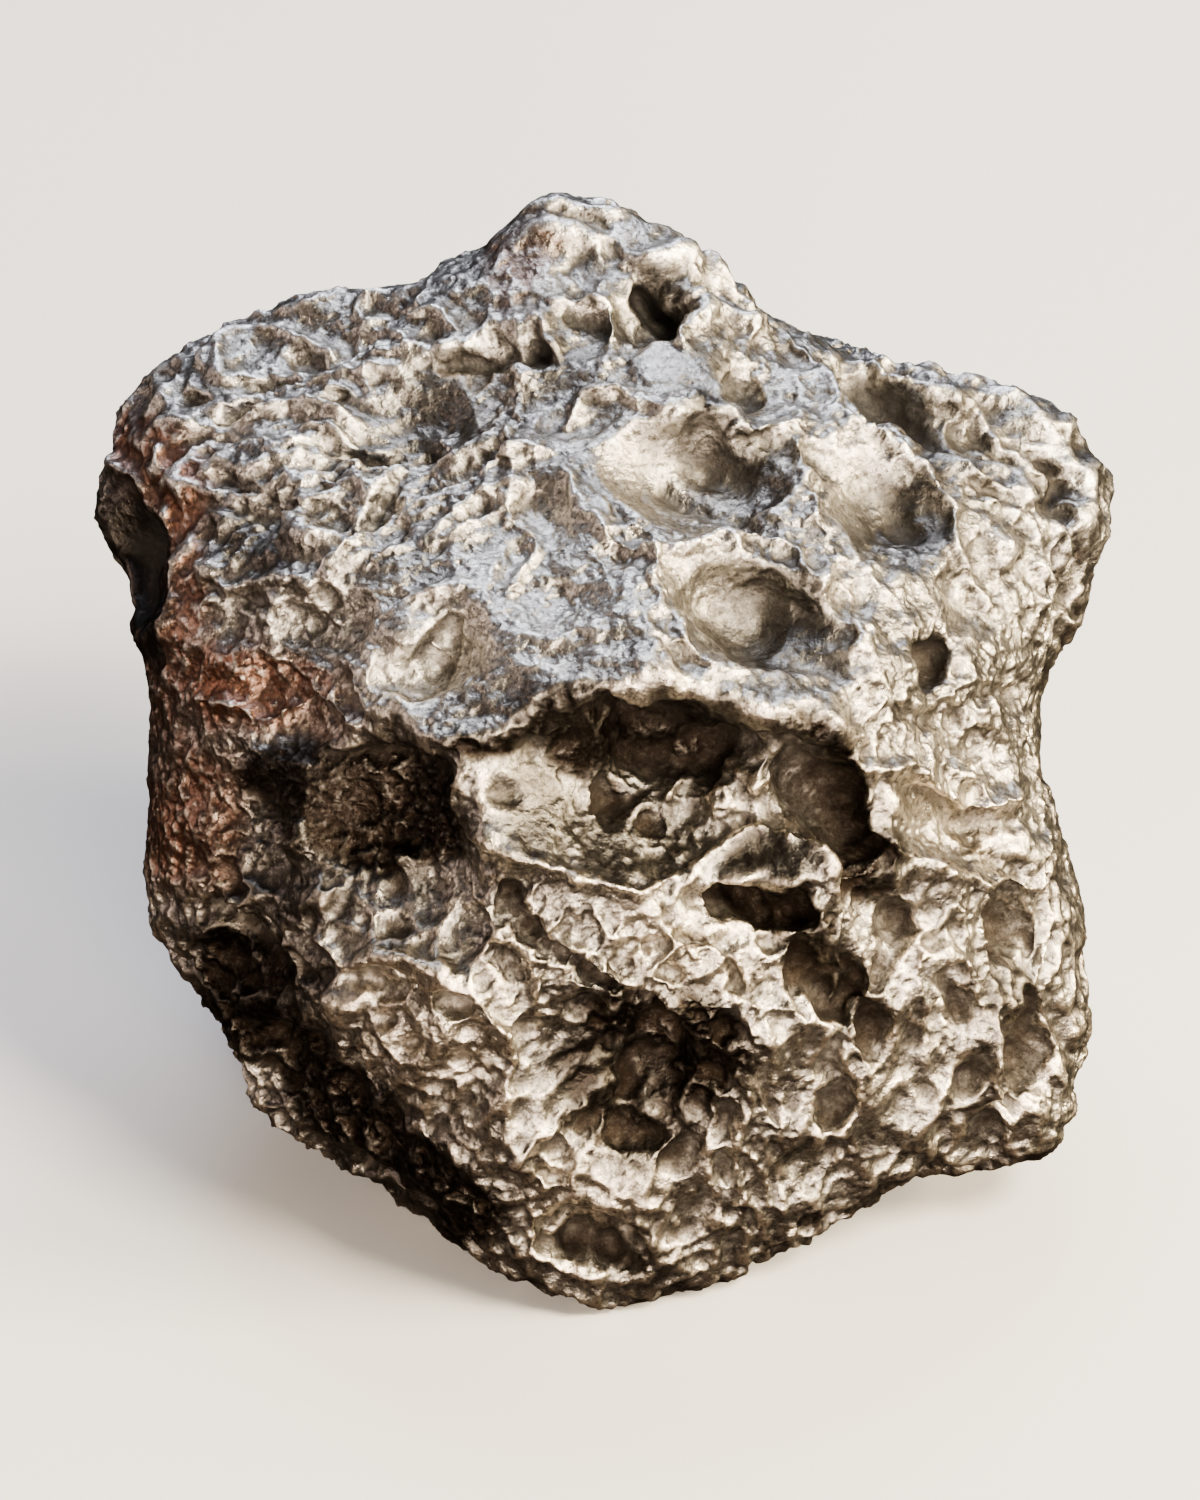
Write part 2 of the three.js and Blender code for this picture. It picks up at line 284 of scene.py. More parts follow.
# Dents, and bumps where the depth is below zero: (right, up, half width, half height, turn, depth)
DENTS = [
    (1.8, 1.9, 3.0, 1.5, 0, 1.2),  # the cave's dark vault, its knobs and its facet
    (5.6, 0.4, 2.2, 1.3, -10, 1.2),
    (-4.9, -2.2, 0.8, 1.3, 20, 0.5),
    (0.6, -2.4, 1.2, 1.7, 0, 1.1),
    (2.6, -3.6, 1.0, 0.8, 30, 0.7),
    (3.6, -1.6, 1.1, 0.9, -20, -0.6),
    (5.8, -2.6, 1.0, 1.3, 0, -0.7),
    (4.9, -1.0, 0.7, 0.9, 0, 0.7),
    (7.4, -1.6, 0.9, 1.1, 0, -0.6),
    (14.4, 12.0, 3.0, 2.6, -30, 1.1),  # the right bowl's end, and the pits near it
    (15.4, 11.4, 1.5, 1.4, -30, 0.6),
    (16.3, 4.4, 1.0, 1.3, 0, 1.3),
    (22.8, 12.9, 1.0, 1.8, 20, 1.4),
    (14.8, 17.2, 6.4, 1.5, -36, 2.2),  # the shoulder's trough
    (9.0, 21.8, 2.0, 1.2, -20, 1.2),
    (20.2, 10.2, 1.3, 1.1, -40, -0.7),
    (7.0, 17.8, 1.1, 1.2, -30, 1.0),
    (4.8, 14.0, 4.8, 3.3, -8, 1.4),  # the upper bowl and the brow bowl, deeper to the right
    (5.8, 14.4, 2.8, 2.1, -20, 0.9),
    (7.2, 7.0, 4.3, 2.8, -14, 1.4),
    (8.8, 6.9, 2.3, 2.1, -20, 0.4),
    (12.6, 5.6, 1.5, 2.0, -20, -0.8),
    (2.8, 21.9, 0.8, 1.7, 12, 2.2),  # the summit's hole and its lips
    (0.0, 22.4, 1.5, 0.8, -12, -0.8),
    (3.2, 24.0, 2.4, 0.7, -24, -0.5),
    (-9.4, -5.6, 1.2, 1.0, 0, -0.8),  # the left recess's knobs
    (-14.6, -4.2, 1.5, 1.7, 0, -1.0),
    (-14.0, -7.2, 1.3, 1.2, 0, -0.7),
    (-17.0, -2.2, 1.0, 1.2, 0, 0.7),
    (-18.6, -6.4, 1.0, 1.3, 0, 0.7),
    (-8.8, -14.4, 4.4, 3.6, -25, -1.1),  # the pitted lump below it
    (-12.6, -12.2, 1.6, 1.7, 0, -1.6),
    (-7.0, -12.6, 0.9, 0.8, 0, 1.0),
    (-9.3, -14.4, 0.7, 0.6, 0, 0.7),
    (-6.5, -15.3, 0.6, 0.5, 0, 0.6),
    (-10.7, -13.2, 0.6, 0.5, 0, 0.5),
    (-8.1, -16.6, 0.7, 0.6, 0, 0.6),
    (-6.2, -17.8, 0.6, 0.5, 0, 0.5),
    (-18.4, -10.8, 2.2, 1.7, -30, 1.4),  # the jaw
    (-12.6, -16.6, 1.6, 1.0, -45, 0.7),
    (2.2, -15.4, 2.4, 3.6, -30, 1.4),  # the toe scoop, its boss and the cup
    (7.8, -14.3, 2.1, 1.9, 0, -0.9),
    (4.2, -19.8, 1.1, 1.6, -20, 0.7),
    (0.3, -24.3, 1.9, 1.2, -20, 0.4),
    (12.6, -11.4, 0.9, 1.2, 0, 1.6),  # the right cheek's pits
    (13.6, -14.2, 1.2, 1.8, 10, 1.8),
    (14.6, -8.2, 0.9, 1.4, 0, 1.3),
    (17.8, -12.4, 1.0, 1.8, 0, 1.6),
    (18.4, -16.6, 1.0, 1.5, 0, 1.5),
    (21.4, -15.0, 1.3, 2.6, 8, 1.8),
    (11.6, -17.6, 1.2, 1.1, 0, 1.3),
    (20.4, -9.0, 1.0, 1.6, 0, 1.2),
    (-23.4, 9.8, 1.7, 4.2, 8, 1.4),  # the left end and the brown scoops
    (-22.3, 14.4, 0.8, 0.8, 0, -0.6),
    (-20.8, 13.4, 0.9, 0.8, 0, -0.6),
    (-17.4, 11.2, 2.4, 2.0, -20, -0.9),
    (-8.8, 5.4, 2.6, 2.4, 0, -1.3),  # the crest bowl and the dark spot in it
    (-7.1, 5.8, 0.9, 1.2, 0, 0.7),
    (-5.0, 17.6, 1.6, 2.6, 30, 0.8),
]
# Crests, and grooves where the height is below zero: (height, half width, [right, up, right, up, ...])
CRESTS = [
    # the brow, then the cave's left and lower rims
    (1.0, 1.2, [-6.6, 1.5, -3.5, 2.5, -0.6, 3.7, 2.4, 4.4,
                5.0, 3.4, 7.6, 2.5, 10.0, 2.6, 12.0, 1.2]),
    (0.9, 0.6, [-12.5, 4.6, -11.2, 2.6, -9.4, 1.4, -7.2, 1.0,
                -7.0, -2.4, -5.9, -4.3, -3.8, -5.6, -1.1, -6.5]),
    (0.7, 0.6, [-1.1, -6.5, 1.9, -6.9, 4.6, -6.0, 6.7, -4.4, 8.3, -3.8, 10.2, -4.4, 11.6, -5.8]),
    (-1.3, 0.9, [7.6, 0.4, 9.6, -0.7, 11.2, -2.8, 12.3, -5.0, 12.8, -7.0]),  # the cave's right wall
    (0.8, 0.7, [11.4, 1.0, 13.0, -2.2, 14.4, -5.2, 14.7, -7.4]),
    (-2.2, 0.6, [6.2, -7.4, 7.8, -7.8, 9.8, -8.0]),  # the slot under the arch
    (-0.6, 0.5, [3.4, 12.7, 5.0, 11.9, 6.6, 11.6, 8.4, 11.1]),  # the upper bowl's crease and rim
    (0.9, 0.5, [-1.6, 16.6, 1.3, 18.2, 3.6, 17.2, 6.1, 16.8, 7.8, 16.1, 9.5, 16.5]),
    (0.6, 0.45, [-1.6, 13.4, -1.2, 11.6, 0.6, 10.2, 2.4, 9.7, 4.9, 10.2, 7.9, 10.8, 10.0, 9.9, 11.2, 8.0]),
    (0.6, 0.45, [2.3, 9.6, 3.3, 6.8, 5.1, 4.9, 6.8, 3.8, 8.6, 3.4, 11.0, 3.7]),
    (0.7, 0.5, [9.9, 15.5, 10.2, 14.0, 10.9, 12.8, 10.6, 11.2, 11.4, 9.0]),  # the right bowl's sides
    (0.8, 0.5, [7.6, 20.6, 9.5, 19.8, 11.2, 18.1, 12.9, 16.3, 14.8, 15.3,
                16.2, 13.6, 17.5, 12.0, 17.3, 10.0, 19.0, 7.3]),
    (0.6, 0.4, [19.6, 15.2, 20.8, 14.0, 21.4, 12.6]),
    (0.7, 0.5, [10.2, 20.6, 13.6, 19.4, 16.8, 17.8, 19.8, 15.4]),
    (-0.8, 0.4, [16.8, 8.4, 17.6, 6.3]),
    (0.7, 0.5, [13.1, -0.9, 15.2, -0.8, 16.7, -1.7, 18.3, -2.8, 20.8, -2.2]),  # the cheek bowl
    (-0.5, 0.5, [13.6, -1.8, 15.3, -1.8, 16.8, -2.8, 18.4, -3.8, 20.6, -3.2]),
    (0.6, 0.45, [13.2, -2.8, 14.3, -4.4, 16.0, -5.6, 18.2, -6.6,
                 21.6, -6.8, 22.2, -4.4, 21.8, -1.4, 21.0, 1.6]),
    (-0.6, 0.4, [15.2, 1.7, 17.6, 1.6, 19.4, 2.6, 21.0, 3.1]),
    (-0.9, 0.6, [8.6, -9.3, 10.4, -10.9, 11.8, -12.2, 13.0, -12.9]),  # the groove below
    (0.5, 0.4, [15.9, -10.6, 16.2, -13.4, 16.7, -16.8, 16.2, -19.0]),
    (0.5, 0.4, [19.0, -8.6, 19.8, -11.8, 19.6, -15.2, 20.2, -18.6]),
    (0.5, 0.35, [20.4, -12.6, 21.6, -14.6, 23.0, -16.6]),
    (-1.3, 0.55, [-4.3, -7.5, -2.6, -9.4, -0.4, -11.4, 3.2, -13.0]),  # the crack over the toe scoop
    (0.7, 0.6, [4.0, -9.4, 2.6, -11.0, 5.6, -12.6, 9.0, -12.2]),
    (-0.9, 0.8, [-13.4, -0.3, -11.2, -0.5, -9.4, -0.9, -8.0, -1.4]),  # under the left brow
    (0.9, 0.7, [-19.6, 2.6, -16.6, 1.6, -14.2, 2.6, -12.6, 2.0, -10.8, 1.6]),
    (1.5, 1.0, [-14.2, -8.6, -12.2, -10.2, -9.3, -10.3, -6.3, -11.8, -4.9, -12.9, -4.5, -15.1]),
    (0.7, 0.5, [-6.0, -11.2, -4.4, -13.0, -4.0, -14.8, -4.8, -16.8, -4.4, -19.4, -2.8, -21.6]),
    (0.6, 0.4, [-3.2, -23.4, -3.0, -25.0, -1.6, -26.0, 0.2, -26.2]),
    (0.6, 0.5, [-6.6, 7.8, -8.6, 8.0, -10.6, 7.0, -11.4, 5.2, -11.0, 3.2, -9.4, 2.0]),  # the crest bowl
    (1.0, 0.5, [0.9, 24.2, 2.8, 24.4, 5.0, 23.8, 6.6, 22.4, 7.6, 21.0]),  # the summit's ridges
    (0.8, 0.45, [4.2, 22.8, 4.7, 21.4, 4.2, 20.0]),
    (0.8, 0.4, [-2.4, 22.2, -0.8, 22.6, 0.8, 21.9, 0.4, 20.6]),
    (0.9, 0.5, [-7.6, 20.0, -5.3, 21.3, -3.4, 21.3, -2.2, 20.2]),  # the ledge left of the spine
    (-1.1, 0.6, [-7.2, 19.0, -5.0, 20.0, -3.0, 19.7]),
    (-0.8, 0.35, [-1.6, 21.5, -0.2, 20.8]),
    (0.7, 0.6, [-24.6, 14.5, -22.8, 13.2, -21.3, 11.0, -21.2, 8.0, -21.6, 5.6]),  # the edge of the left end
    (0.5, 0.5, [-19.6, 7.4, -16.8, 8.6, -14.4, 8.2, -12.8, 6.4]),
    (0.6, 0.5, [-4.6, 15.6, -4.4, 12.6, -3.2, 10.2, -4.0, 8.0]),
]
# Lips drawn out over what lies below them: (right, up and outward move, half width, [right, up, ...])
LIPS = [
    ((0.2, -1.1, 0.4), 1.1, [-6.4, 1.2, -2.3, 2.2, 0.4, 3.2, 2.6, 3.6, 5.2, 2.4, 7.6, 1.7, 10.2, 1.7]),
    ((0.2, -0.9, 0.4), 0.8, [-12.6, 0.8, -10.8, 0.8, -8.2, 0.4]),
    ((0.2, -0.8, 0.3), 0.6, [1.6, 17.9, 3.6, 17.0, 6.1, 16.7, 7.8, 16.0]),
    ((0.0, -0.8, 0.3), 0.6, [-6.8, 20.4, -5.0, 21.1, -3.0, 20.8]),
    ((0.1, -0.3, 0.2), 0.6, [14.0, -1.0, 16.0, -1.4, 18.0, -2.8, 20.4, -2.4]),
    ((0.3, -0.8, 0.3), 0.6, [-3.6, -7.3, -1.6, -9.6, 1.0, -11.4, 3.6, -12.6]),
]


def ellipse(points, right, up, half_width, half_height, turn):
    """How far each point is from an ellipse's middle, seen straight on: 1 at its edge."""
    c, s = math.cos(math.radians(turn)), math.sin(math.radians(turn))
    dx, dy = points[:, 0] - right, points[:, 1] - up
    return np.hypot((dx * c + dy * s) / half_width, (dy * c - dx * s) / half_height)


def from_line(points, line):
    """Distance from a line through some points, seen straight on."""
    stops = np.array(line, float).reshape(-1, 2)
    best = np.full(len(points), 99.0)
    for a, b in zip(stops[:-1], stops[1:]):
        along = np.clip((points[:, :2] - a) @ (b - a) / ((b - a) @ (b - a)), 0, 1)
        best = np.minimum(best, np.linalg.norm(points[:, :2] - a - along[:, None] * (b - a), axis=1))
    return best


# Flow lines: (right, up, half width, half height, turn of the area, direction of the lines)
FLOWS = [
    (-15.0, 19.0, 9.0, 4.0, 12, -14),
    (-16.0, 15.0, 7.0, 3.0, 0, -20),
    (-9.0, 12.4, 7.0, 2.6, 20, 34),
    (3.0, 24.6, 7.0, 2.6, -28, -34),
    (20.0, 15.6, 8.0, 3.0, -35, -34),
    (23.6, 9.0, 2.4, 6.0, 0, -60),
    (-2.6, -16.6, 2.2, 6.4, -48, -132),
    (-16.0, 9.6, 5.0, 3.0, 0, -8),
]

# Where dark crust and painted shade darken the iron: (right, up, half width, half height, turn, share)
CRUST_AND_SHADE = [
    (1.4, 1.2, 5.2, 2.4, -6, 1.0),  # the cave's vault, right wall, pits and facet, and the arch's roof
    (12.0, -2.4, 1.6, 4.6, 30, 0.9),
    (0.8, -3.6, 3.8, 2.2, 10, 0.6),
    (-3.4, -2.8, 2.2, 3.4, 10, 0.65),
    (8.7, -5.5, 2.7, 1.5, -8, 0.7),
    (-12.0, -3.0, 5.8, 3.6, -12, 1.0),  # the left recess
    (-15.6, -5.6, 4.6, 3.4, -30, 0.5),
    (-18.0, -11.2, 4.0, 2.6, -35, 1.0),  # the jaw and the underside behind it
    (-12.0, -20.4, 7.0, 1.9, -40, 0.7),
    (5.2, -13.8, 2.6, 1.6, -35, 1.0),  # the toe scoop and the cup
    (1.8, -16.8, 4.4, 4.2, -40, 0.9),
    (0.6, -24.6, 2.4, 1.4, -15, 0.8),
    (-23.8, 8.6, 2.6, 5.6, 8, 1.0),  # the left end and the brown scoops
    (-17.4, 10.2, 2.8, 1.6, -15, 0.6),
    (6.0, 14.7, 3.0, 2.0, -20, 0.7),  # the bowls' right walls
    (8.9, 7.3, 2.7, 2.6, -30, 0.6),
    (14.8, 11.6, 2.4, 2.4, -30, 0.7),
    (11.4, -10.0, 1.2, 2.4, 40, 0.9),  # grooves and pits of the right cheek
    (20.6, -13.0, 1.4, 3.4, 8, 0.5),
    (13.4, -13.4, 1.8, 2.6, 0, 0.6),
    (8.6, -8.0, 2.0, 0.6, -6, 1.0),
    (2.8, 22.0, 1.2, 1.8, 8, 0.9),
    (16.4, 4.4, 1.0, 1.4, 0, 0.6),
    (22.6, 12.9, 1.4, 1.2, -50, 0.8),
    (-2.6, 20.0, 1.8, 1.6, 30, 0.4),  # the summit's left side
    (17.2, 15.8, 4.4, 1.6, -36, 0.5),  # the shoulder's trough
    (-9.0, 16.4, 3.6, 2.8, 35, 0.35),  # the saddle
]
# Dark crust and painted shade that run along a line: (share, half width, [right, up, ...])
CRUST_AND_SHADE_BANDS = [
    # under the brow
    (1.0, 1.1, [-6.6, 0.2, -3.4, 1.2, -0.6, 2.4, 2.4, 3.0, 5.0, 2.0, 7.6, 1.2, 10.0, 0.9]),
    (1.0, 1.1, [10.0, 0.9, 11.6, -0.6, 12.7, -3.6, 13.2, -6.4]),  # the cave's right wall
    (1.0, 1.9, [-16.4, -1.2, -13.4, -1.2, -11.2, -1.8, -9.0, -2.4, -8.0, -3.8]),  # under the left brow
    (1.0, 2.0, [-18.6, -10.4, -16.6, -14.2, -12.8, -17.8, -9.2, -20.6, -6.6, -23.4]),  # the lower left edge
    (1.0, 0.8, [7.0, -7.5, 7.8, -7.8, 9.8, -8.0]),  # the slot
    (1.0, 1.5, [0.6, -13.6, 3.2, -14.2, 5.2, -16.2]),  # under the toe scoop's lip
]

# Where the iron is tinted reddish brown, on the far left side and the summit's: (right, up, half width,
# half height, turn, share)
REDDISH_PATCHES = [
    (-22.4, 14.2, 2.4, 3.6, 25),
    (-22.2, 5.4, 2.6, 6.0, 8),
    (-17.6, 3.2, 5.0, 2.4, -8),
    (-20.6, -3.4, 3.0, 4.4, 0),
    (-4.2, 24.2, 1.6, 3.4, -25, 0.5),
    (-20.8, 10.6, 1.5, 5.8, 8),
    (-23.8, 15.8, 1.6, 1.8, 0),
]

# Where the paint is lighter, with stronger painted highlights and weaker painted shade: (right, up, half
# width, half height, turn)
LIGHTER_ZONES = [
    (-3.0, 7.4, 5.4, 4.2, 10),
    (-9.4, 5.0, 3.4, 3.2, 0),
    (4.6, -9.8, 4.0, 2.4, -15),
    (-8.4, -13.4, 4.4, 3.6, -25),
    (-14.0, 17.0, 6.0, 3.0, 10),
    (0.0, -22.0, 4.0, 3.0, 0),
    (16.6, -3.0, 4.0, 2.4, -24),
]

# Nudges that set the outline: (right, up, reach, move right, move up)
OUTLINE = [
    (-3.2, 26.4, 3.0, -0.1, 0.4),
    (-21.0, 17.0, 5.0, -0.2, 0.4),
    (-24.6, 5.0, 5.0, -0.5, 0.0),
    (-7.6, -24.0, 5.0, -0.1, -0.4),
    (2.0, -28.0, 5.0, 0.0, -0.2),
    (11.0, -23.0, 5.0, 0.0, -0.3),
    (21.0, -20.0, 5.0, 0.5, 0.0),
    (-25.4, 9.6, 3.4, -0.3, 0.0),
    (25.0, 13.0, 4.0, 0.4, 0.1),
    (16.0, 19.6, 5.0, 0.1, 0.6),
    (-9.5, 23.4, 3.0, 0.0, 0.3),
]


def zone_share(points, zones, start, end):
    """1 inside any of some ellipses, fading to 0 outside; a sixth number scales its own zone."""
    share = np.zeros(len(points))
    for right, up, half_width, half_height, turn, *scale in zones:
        inside = ramp(ellipse(points, right, up, half_width, half_height, turn), start, end)
        share = np.maximum(share, inside * (scale[0] if scale else 1))
    return share


def dishes(points, pitch, seed, edge):
    """Depth, 0 to 1, of hollows that meet in sharp crests, each with a depth of its own."""
    first, second, owner = cells(stirred(points, 0.8 * pitch, 0.42 * pitch, seed), pitch, seed + 1)
    inside = np.clip((second - first) / edge, 0, 1)
    return inside * (2 - inside) * (0.15 + 0.85 * unit(owner, 1))


# ---- How strong the relief is: lengths in design millimetres ----
FACES_VIEWER = (0.0, 0.3)  # how far a point looks towards the viewer before it takes the face's features
IN_SIGHT = (-0.3, 0.0)  # the same for the dark crust with painted shade, and the reddish brown, which reach a little round the edge
CALMING = 0.85  # the share of the small relief that a smooth place loses
DENT_SHARE, DENT_ROUNDNESS = 0.7, 1.7
CREST_SHARE, CREST_SPREAD, CREST_SHARPNESS = 0.6, 1.6, 1.6
LIP_SHARE = 0.5
SHARPENING, LEAST_SHARPENED, MOST_SHARPENED = 0.8, -0.25, 0.45
# Dishes that meet in crests, in four sizes: pitch and depth. The lower face is more deeply pitted.
WIDE_DISH, WIDE_DEPTH = 5.2, 0.9
MIDDLING_DISH, MIDDLING_DEPTH, MIDDLING_LOWER = 2.6, 0.6, 0.75
SMALL_DISH, SMALL_DEPTH, SMALL_LOWER = 1.25, 0.14, 0.12
FINEST_DISH, FINEST_DEPTH = 0.62, 0.10
PIT_PITCH, PIT_DEPTH = 1.6, 0.3
VEIN_PITCH, VEIN_HEIGHT = 0.9, 0.10
GRAIN_PITCH, GRAIN_HEIGHT = 0.45, 0.045
# Plates and ridges drawn out along the flow lines
PLATE_WIDTH, PLATE_STRETCH = 2.0, 2.4
RIDGE_PITCH, RIDGE_STRETCH = 1.6, 4.5
FLOW_HEIGHT = 1.4
SIGHT = 14  # how far off the lump still closes a point in

# ---- The lump's larger relief, on a skin of middling fineness ----
skin_object = welded_copy()
split_finely(skin_object, 2)
skin = Skin(skin_object.data)
PACE = 2  # rounds of smoothing that reach as far as one does on the coarser skin

nudge = np.zeros((len(skin.at), 3))
for right, up, reach, *way in OUTLINE:
    nudge[:, :2] += np.exp(-(ellipse(skin.at, right, up, reach, reach, 0)[:, None] ** 2)) * way
skin.at += nudge
skin.refresh()

# Only what faces the viewer takes the face's features.
outward = skin.smooth(skin.out, 4 * PACE)[:, 2]
facing = ramp(outward, *FACES_VIEWER)
seen = ramp(outward, *IN_SIGHT)
drawn = stirred(stirred(skin.at, 2.6, 0.6, 40), 0.9, 0.14, 50)
drawn[:, 2] = 0
calm = zone_share(drawn, SMOOTH, 1.0, 0.7) * facing
ragged = stirred(drawn, 3, 1.2, 45)
# Dark crust and painted shade: darker in the given zones and along the given bands, in the cave, recesses,
# scoops, pits and grooves, under brows and lips, and on the bowls' right walls.
crust_and_shade = zone_share(ragged, CRUST_AND_SHADE, 1.25, 0.6)
wavering = stirred(drawn, 2, 0.5, 46)
for share, half_width, line in CRUST_AND_SHADE_BANDS:
    crust_and_shade = np.maximum(crust_and_shade, share * ramp(from_line(wavering, line) / half_width, 1.3, 0.6))
crust_and_shade *= seen
rough = 1 - CALMING * calm
flow, drawn_out = np.zeros(len(skin.at)), np.zeros(len(skin.at))
bent = stirred(skin.at, 5, 1.6, 60)
for *zone, lines in FLOWS:
    c, s = math.cos(math.radians(lines)), math.sin(math.radians(lines))
    share = ramp(ellipse(drawn, *zone), 1.2, 0.7) * facing
    here = share > 0
    x, y, z = bent[here].T
    along, across = x * c + y * s, y * c - x * s
    plates = dishes(np.stack([along / PLATE_STRETCH, across, z], 1), PLATE_WIDTH, 61, 0.8)
    ridges = (1 - np.abs(noise(np.stack([along / RIDGE_STRETCH, across, z], 1), RIDGE_PITCH, 63))) ** 3
    flow[here] += (0.35 - 0.7 * plates + 0.6 * (ridges - 0.45)) * share[here]
    drawn_out = np.maximum(drawn_out, share)

height = np.zeros(len(skin.at))
for *zone, depth in DENTS:
    height -= DENT_SHARE * depth * np.clip(1 - ellipse(drawn, *zone) ** 2, 0, None) ** DENT_ROUNDNESS
for rise, half_width, line in CRESTS:
    nearness = np.clip(1 - from_line(drawn, line) / (CREST_SPREAD * half_width), 0, 1)
    height += CREST_SHARE * rise * nearness**CREST_SHARPNESS
skin.move(height * facing, 3 * PACE)
push = np.zeros((len(skin.at), 3))
for way, half_width, line in LIPS:
    push += np.exp(-((from_line(drawn, line) / half_width) ** 2))[:, None] * np.array(way)
skin.at += LIP_SHARE * push * facing[:, None]
skin.refresh()
skin.spread(8 * PACE)

# Crests sharpened: what stands above its surroundings is raised further.
skin.move(np.clip(SHARPENING * skin.relief(8 * PACE), LEAST_SHARPENED, MOST_SHARPENED))

# Scallops: dishes that meet in crests, long ones on the right cheek.
patchy = ramp(fractal(skin.at, 6, 2, 21), -0.35, 0.35)
cheek = ramp(skin.at[:, 0], 6, 12) * ramp(skin.at[:, 1], -4, -9)
upright = skin.at * (1 - cheek[:, None] * np.array([0, 0.4, 0]))
height = -WIDE_DEPTH * dishes(skin.at, WIDE_DISH, 11, 0.6) * (1 - 0.4 * facing) * rough
lower = ramp(skin.at[:, 1], -4, -9)
pitted = (0.35 + 0.65 * np.maximum(patchy, lower)) * (1 - 0.6 * drawn_out) * rough
height -= (MIDDLING_DEPTH + MIDDLING_LOWER * lower) * dishes(upright, MIDDLING_DISH, 21, 0.7) * pitted
height += FLOW_HEIGHT * flow * (0.3 + 0.7 * rough)
skin.move(height, 3 * PACE)
skin.spread(2 * PACE)

# Reddish brown tint on the far left side and the summit.
reddish_share = zone_share(stirred(drawn, 3, 1.2, 47), REDDISH_PATCHES, 1.3, 0.5) * seen
keep(skin_object.data, "facing", facing)
keep(skin_object.data, "calm", calm)
keep(skin_object.data, "crust_and_shade", crust_and_shade)
keep(skin_object.data, "reddish", reddish_share)
# How closed in each point is, which the painted shade in hollows follows.
keep(skin_object.data, "deep", skin.closeness(skin_object, 12, SIGHT, 3))

# ---- The finest relief, on a skin of twice the fineness ----
split_finely(skin_object, 1)
skin = Skin(skin_object.data)
PACE *= 2
facing, calm, crust_and_shade, deep = (kept(skin_object.data, name) for name in ("facing", "calm", "crust_and_shade", "deep"))
rough = 1 - CALMING * calm
patchy = ramp(fractal(skin.at, 4, 2, 23), -0.4, 0.4)
lower = ramp(skin.at[:, 1], 4, -6)
height = -(SMALL_DEPTH + SMALL_LOWER * lower) * dishes(skin.at, SMALL_DISH, 31, 0.7) * rough
height *= 0.3 + 0.7 * patchy
height -= FINEST_DEPTH * dishes(skin.at, FINEST_DISH, 41, 0.8) * rough
near, _, owner = cells(stirred(skin.at, 0.8, 0.3, 8), PIT_PITCH, 14)
pit_width = 0.14 + 0.26 * unit(owner, 0)
pits = ramp(near, pit_width, pit_width * 0.3) * unit(owner, 1) * (unit(owner, 2) > 0.5)
height -= PIT_DEPTH * pits * rough
veins = (1 - np.abs(noise(stirred(skin.at, 1.2, 0.4, 52), VEIN_PITCH, 55))) ** 5
height += VEIN_HEIGHT * (veins - 0.3) * rough * (0.4 + 0.6 * patchy)
height += GRAIN_HEIGHT * fractal(skin.at, GRAIN_PITCH, 2, 51)
skin.move(height, PACE)

# The underside is worn flat where the CAD lump bears on the table.
world = from_face(skin.at)
world[:, 2] = np.maximum(world[:, 2], low.z)
skin.at = to_face(world)
skin.refresh()

# What the paint follows: how far each point is sunk or raised, for painted shade in hollows and painted
# highlights on crests, and where the reddish brown, the dark crust and the painted shade on downward faces
# go.
close = skin.relief(3 * PACE)
relief = skin.relief(14 * PACE)
upward = skin.smooth(skin.out, 4 * PACE) @ AXES[:, 2]
stain = fractal(skin.at, 5, 3, 71)
# Lighter zones: painted highlights stronger and painted shade weaker.
lighter = zone_share(stirred(skin.at, 3, 1.2, 49), LIGHTER_ZONES, 1.3, 0.6) * facing
# Painted shade with dark oxide: darker in hollows and pits, and where the lump closes a point in.
hollow_shade_and_oxide = 0.7 * ramp(-relief, 0.0, 0.45) + 0.3 * ramp(-close, 0.0, 0.08) + 0.8 * ramp(deep, 0.45, 0.85)
# Painted highlight: lighter on fine crests and raised places, and in the lighter zones.
crest = (0.9 + 0.3 * lighter) * ramp(close, 0.01, 0.07) + 0.35 * ramp(relief, 0.1, 0.4) + 0.3 * lighter
keep(skin_object.data, "hollow_shade_and_oxide", np.clip(hollow_shade_and_oxide * (1 - 0.45 * lighter) + 0.25 * crust_and_shade, 0, 1))
keep(skin_object.data, "crest", np.clip(crest, 0, 1))
# Painted shade on faces that look downward, joined with the dark crust and painted shade zones.
keep(skin_object.data, "crust_and_lower_shade", np.maximum(crust_and_shade, ramp(-upward + 0.2 * stain, 0.25, 0.85)))
keep(skin_object.data, "bronze", ramp(skin.at[:, 1] - 0.15 * skin.at[:, 0] + 2 * stain, 9, -3))

skin_object.data.polygons.foreach_set("use_smooth", [True] * len(skin_object.data.polygons))


# ---- Materials ----
DULL_IRON, CLEAN_IRON = (0.20, 0.19, 0.18), (0.52, 0.495, 0.46)
BRIGHT_FLECK, DARK_FLECK, DARK_SPECK = (0.84, 0.80, 0.72), (0.05, 0.042, 0.035), (0.07, 0.06, 0.05)
SMOOTH_IRON = (0.42, 0.40, 0.37)
REDDISH_BROWN = (0.32, 0.155, 0.10)
# Each pair is for the top of the lump, then for its lower, browner half.
# Colour for painted highlights on crests.
CREST_HIGHLIGHT = ((0.86, 0.83, 0.78), (0.90, 0.81, 0.68))
# Colour for painted shade and dark oxide in hollows.
HOLLOW_SHADE_AND_OXIDE = ((0.050, 0.047, 0.045), (0.030, 0.021, 0.015))
